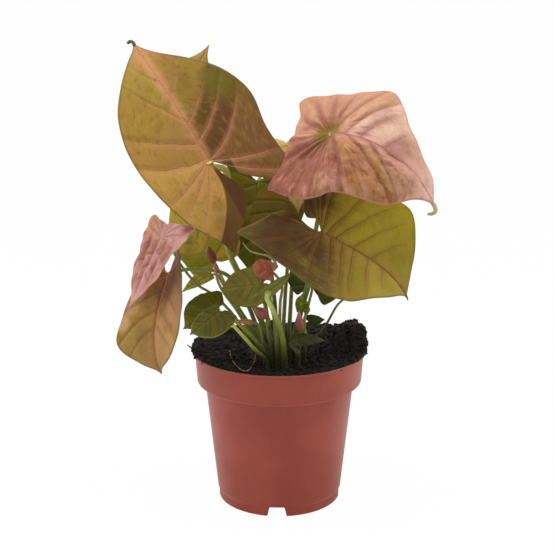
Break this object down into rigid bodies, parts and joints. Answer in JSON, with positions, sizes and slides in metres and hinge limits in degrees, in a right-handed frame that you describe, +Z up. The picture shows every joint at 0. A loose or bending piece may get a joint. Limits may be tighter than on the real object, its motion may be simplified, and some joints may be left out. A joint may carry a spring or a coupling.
{
  "type": "potted arrowhead plant",
  "caption": "Bushy arrowhead plant with pink, tan and olive leaves on slender stalks, in soil in a round terracotta-coloured nursery pot.",
  "frame": {"origin": "centre of the pot's flat underside", "axes": "+Z up along the pot's axis, +X to the right seen from the front, front towards -Y"},
  "size_m": [0.2007, 0.1514, 0.3114],
  "materials": {
    "terracotta_plastic": "smooth moulded nursery-pot plastic, soft sheen",
    "potting_soil": "dark fibrous peat, rough",
    "leaf_tan": "tan-olive leaf skin with a salmon midrib, satin",
    "leaf_pink": "pink-salmon puckered leaf skin, satin",
    "leaf_mauve": "mauve-pink young leaf skin, satin",
    "leaf_olive": "olive-green leaf skin with red-brown veins, satin",
    "leaf_green": "green leaf skin, satin",
    "leaf_dark_green": "dark green leaf skin, satin",
    "leaf_yellow_green": "yellow-green leaf skin, satin",
    "leaf_orange_pink": "orange-pink unfurling leaf skin, satin",
    "leaf_dark_red": "dark red rolled young leaf, satin",
    "stalk_green": "yellow-green fleshy stalk, satin",
    "root_tan": "thin dry root, matte"
  },
  "bodies": {
    "root": {"pot": "terracotta_plastic", "soil": "potting_soil", "upper_left_blade": "leaf_tan", "upper_left_stalk": "stalk_green", "pink_right_blade": "leaf_pink", "pink_right_stalk": "stalk_green", "lower_right_blade": "leaf_olive", "lower_right_stalk": "stalk_green", "hanging_left_blade": "leaf_tan", "hanging_left_stalk": "stalk_green", "young_pink_left_blade": "leaf_mauve", "young_pink_left_stalk": "stalk_green", "small_front_blade": "leaf_green", "small_front_stalk": "stalk_green", "edge_on_front_blade": "leaf_green", "edge_on_front_stalk": "stalk_green", "dark_lower_left_blade": "leaf_green", "dark_lower_left_stalk": "stalk_green", "second_lower_left_blade": "leaf_green", "second_lower_left_stalk": "stalk_green", "green_left_blade": "leaf_green", "green_left_stalk": "stalk_green", "narrow_left_blade": "leaf_yellow_green", "narrow_left_stalk": "stalk_green", "dark_centre_blade": "leaf_dark_green", "dark_centre_stalk": "stalk_green", "olive_centre_blade": "leaf_olive", "olive_centre_stalk": "stalk_green", "back_top_blade": "leaf_yellow_green", "back_top_stalk": "stalk_green", "yellow_middle_blade": "leaf_yellow_green", "yellow_middle_stalk": "stalk_green", "underside_right_blade": "leaf_dark_green", "underside_right_stalk": "stalk_green", "far_right_blade": "leaf_dark_green", "far_right_stalk": "stalk_green", "crumpled_small_blade": "leaf_green", "crumpled_small_stalk": "stalk_green", "tiny_right_blade": "leaf_dark_green", "tiny_right_stalk": "stalk_green", "base_right_blade": "leaf_dark_green", "base_right_stalk": "stalk_green", "unfurling_orange_blade": "leaf_orange_pink", "unfurling_orange_stalk": "stalk_green", "bud_pink_low": "leaf_pink", "bud_pink_low_stalk": "stalk_green", "bud_orange_left": "leaf_orange_pink", "bud_orange_left_stalk": "stalk_green", "bud_pink_right": "leaf_pink", "bud_pink_right_stalk": "stalk_green", "bud_red_left": "leaf_dark_red", "bud_red_left_stalk": "stalk_green", "root_loop": "root_tan", "root_stub": "root_tan"}
  },
  "joints": []
}
